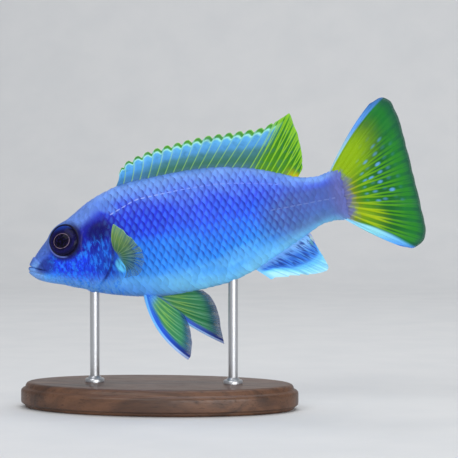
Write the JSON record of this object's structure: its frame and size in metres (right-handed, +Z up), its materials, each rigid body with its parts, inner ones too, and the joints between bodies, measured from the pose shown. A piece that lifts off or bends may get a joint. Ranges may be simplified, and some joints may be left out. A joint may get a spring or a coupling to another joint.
{
  "type": "acei cichlid on a display stand",
  "caption": "Life-size still model of an acei cichlid, nose slightly down with fins spread, held by rods on an oval display base.",
  "frame": {"origin": "centre of the flat underside of the display base", "axes": "+X from the fish's snout towards its tail, -Y to the fish's left side, +Z up"},
  "size_m": [0.1276, 0.0522, 0.097],
  "materials": {
    "body_skin": "wet scaled skin",
    "head_skin": "wet skin",
    "lip_skin": "wet skin",
    "eye": "wet, polished",
    "dorsal_fin": "thin wet membrane",
    "anal_fin": "thin wet membrane",
    "caudal_fin": "thin wet membrane",
    "paired_fin": "thin wet membrane",
    "stand_wood": "satin varnish",
    "stand_steel": "brushed"
  },
  "bodies": {
    "root": {"trunk": "body_skin", "tail_stalk": "body_skin", "head": "head_skin", "gill_cover_left": "head_skin", "gill_cover_right": "head_skin", "lower_jaw": "lip_skin", "eye_left": "eye", "eye_right": "eye", "dorsal_fin": "dorsal_fin", "anal_fin": "anal_fin", "caudal_fin": "caudal_fin", "pectoral_fin_left": "paired_fin", "pectoral_fin_right": "paired_fin", "pelvic_fin_left": "paired_fin", "pelvic_fin_right": "paired_fin", "stand_base": "stand_wood", "stand_rod_front": "stand_steel", "stand_rod_rear": "stand_steel"}
  },
  "joints": []
}
